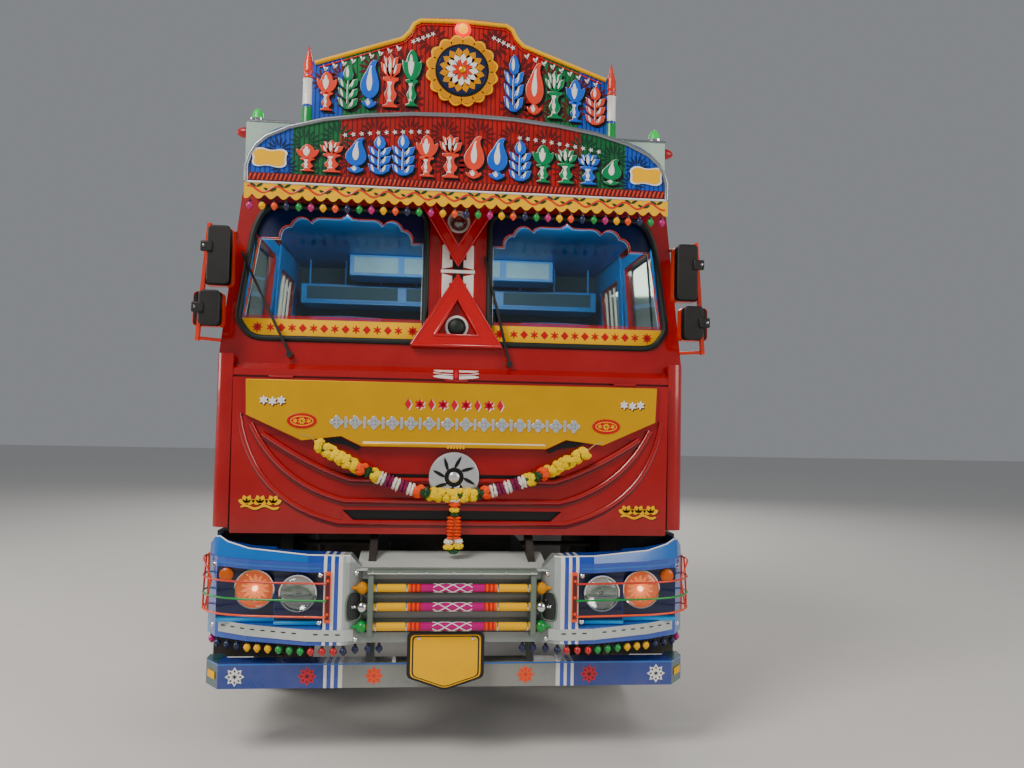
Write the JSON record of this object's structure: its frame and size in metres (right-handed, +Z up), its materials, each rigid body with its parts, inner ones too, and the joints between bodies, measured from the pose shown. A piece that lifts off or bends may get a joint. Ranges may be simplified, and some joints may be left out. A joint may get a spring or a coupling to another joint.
{
  "type": "decorated tractor truck",
  "caption": "Cab-over tractor truck with an arched painted visor and crown, a garland, a tilting sleeper cab, hinged doors and front panel, steered wheels and a trailer coupling.",
  "frame": {"origin": "on the ground, under the middle of the whole truck's bounding box", "axes": "+Z up, the truck faces -Y, +X is the truck's left-hand side"},
  "size_m": [2.7, 5.694, 3.867],
  "materials": {
    "cab_red": "deep red gloss paint",
    "chassis_black": "black chassis paint, satin and dusty",
    "bare_steel": "worn bare steel",
    "cast_iron": "rough painted casting",
    "aluminium": "brushed sheet",
    "rim_grey": "silver grey wheel paint",
    "tyre": "dusty black rubber",
    "bumper_blue": "glossy royal blue paint",
    "lamp_lens": "clear ribbed lens",
    "guard_orange": "orange enamel over wire",
    "rack_green": "grey green enamel",
    "tube_yellow": "yellow enamel with painted bands",
    "board_paint": "sign enamel in blue, green and red",
    "box_pale": "pale green enamel",
    "trim_black": "grained black plastic",
    "mirror_red": "salmon red enamel",
    "glass": "clear, slightly green glass",
    "seat_fabric": "woven cloth",
    "flowers": "strung cloth flowers"
  },
  "bodies": {
    "chassis": {"frame_rails": "chassis_black", "cross_members": "chassis_black", "front_axle": "cast_iron", "leaf_springs": "bare_steel", "rear_axle": "cast_iron", "propeller_shaft": "bare_steel", "engine_block": "cast_iron", "radiator": "aluminium", "fuel_tank": "aluminium", "battery_box": "chassis_black", "air_tanks": "chassis_black", "exhaust_silencer": "bare_steel", "front_bumper": "bumper_blue", "headlamps": "lamp_lens", "lamp_guards": "guard_orange", "bumper_rack": "rack_green", "rack_tubes": "tube_yellow", "low_bumper_bar": "bumper_blue", "step_wells": "trim_black", "rear_mudguards": "trim_black", "tail_bar": "chassis_black", "fifth_wheel_base": "chassis_black"},
    "cab": {"cab_floor": "cab_red", "cab_front": "cab_red", "corner_deflectors": "cab_red", "cab_sides": "cab_red", "cab_rear_wall": "cab_red", "cab_roof": "cab_red", "cab_glass": "glass", "visor_board": "board_paint", "crown_board": "board_paint", "roof_box": "box_pale", "windscreen_triangles": "cab_red", "mirrors": "mirror_red", "seat_cushions": "seat_fabric", "dashboard": "trim_black", "steering_wheel": "trim_black"},
    "door_left": {"door_left": "cab_red", "door_glass_left": "glass"},
    "door_right": {"door_right": "cab_red", "door_glass_right": "glass"},
    "front_panel": {"front_panel": "cab_red", "garland": "flowers", "garland_tassel": "flowers"},
    "wiper_left": {"wiper_left": "trim_black"},
    "wiper_right": {"wiper_right": "trim_black"},
    "fifth_wheel": {"fifth_wheel_plate": "cast_iron", "coupling_jaw": "bare_steel"},
    "knuckle_left": {"knuckle_left": "cast_iron"},
    "knuckle_right": {"knuckle_right": "cast_iron"},
    "track_rod": {"track_rod": "bare_steel"},
    "wheel_front_left": {"front_tyre_left": "tyre", "front_rim_left": "rim_grey"},
    "wheel_front_right": {"front_tyre_right": "tyre", "front_rim_right": "rim_grey"},
    "wheel_rear_left": {"rear_tyres_left": "tyre", "rear_rims_left": "rim_grey"},
    "wheel_rear_right": {"rear_tyres_right": "tyre", "rear_rims_right": "rim_grey"}
  },
  "joints": [
    {"name": "cab_tilt", "type": "hinge", "parent": "chassis", "child": "cab", "pos_m": [0, -2.6525, 0.93], "axis": [1, 0, 0], "range_deg": [0, 45]},
    {"name": "door_left_swing", "type": "hinge", "parent": "cab", "child": "door_left", "pos_m": [1.246, -2.3615, 1.9], "axis": [0, 0, -1], "range_deg": [0, 70]},
    {"name": "door_right_swing", "type": "hinge", "parent": "cab", "child": "door_right", "pos_m": [-1.246, -2.3615, 1.9], "axis": [0, 0, 1], "range_deg": [0, 70]},
    {"name": "front_panel_lift", "type": "hinge", "parent": "cab", "child": "front_panel", "pos_m": [0, -2.5725, 1.893], "axis": [-1, 0, 0], "range_deg": [0, 60]},
    {"name": "wiper_right_sweep", "type": "hinge", "parent": "cab", "child": "wiper_right", "pos_m": [-0.871, -2.4814, 2.011], "axis": [0, 0.995, -0.0995], "range_deg": [0, 75]},
    {"name": "wiper_left_sweep", "type": "hinge", "parent": "cab", "child": "wiper_left", "pos_m": [0.285, -2.4836, 1.989], "axis": [0, 0.995, -0.0995], "range_deg": [0, 75]},
    {"name": "fifth_wheel_rock", "type": "hinge", "parent": "chassis", "child": "fifth_wheel", "pos_m": [0, 1.6375, 1.12], "axis": [1, 0, 0], "range_deg": [-12, 12]},
    {"name": "steer_left", "type": "hinge", "parent": "chassis", "child": "knuckle_left", "pos_m": [0.82, -1.3325, 0.519], "axis": [0, 0, 1], "range_deg": [-36, 36]},
    {"name": "steer_right", "type": "hinge", "parent": "chassis", "child": "knuckle_right", "pos_m": [-0.82, -1.3325, 0.519], "axis": [0, 0, 1], "range_deg": [-36, 36]},
    {"name": "track_rod_swing", "type": "hinge", "parent": "knuckle_left", "child": "track_rod", "pos_m": [0.82, -1.1325, 0.399], "axis": [0, 0, 1], "range_deg": [-36, 36]},
    {"name": "spin_front_left", "type": "hinge", "parent": "knuckle_left", "child": "wheel_front_left", "pos_m": [1.015, -1.3325, 0.519], "axis": [1, 0, 0], "continuous": true},
    {"name": "spin_front_right", "type": "hinge", "parent": "knuckle_right", "child": "wheel_front_right", "pos_m": [-1.015, -1.3325, 0.519], "axis": [1, 0, 0], "continuous": true},
    {"name": "spin_rear_left", "type": "hinge", "parent": "chassis", "child": "wheel_rear_left", "pos_m": [0.915, 1.9875, 0.519], "axis": [1, 0, 0], "continuous": true},
    {"name": "spin_rear_right", "type": "hinge", "parent": "chassis", "child": "wheel_rear_right", "pos_m": [-0.915, 1.9875, 0.519], "axis": [1, 0, 0], "continuous": true}
  ],
  "couplings": [
    {"joint": "steer_right", "follows": "steer_left", "ratio": 1},
    {"joint": "track_rod_swing", "follows": "steer_left", "ratio": -1},
    {"joint": "wiper_left_sweep", "follows": "wiper_right_sweep", "ratio": 1}
  ]
}
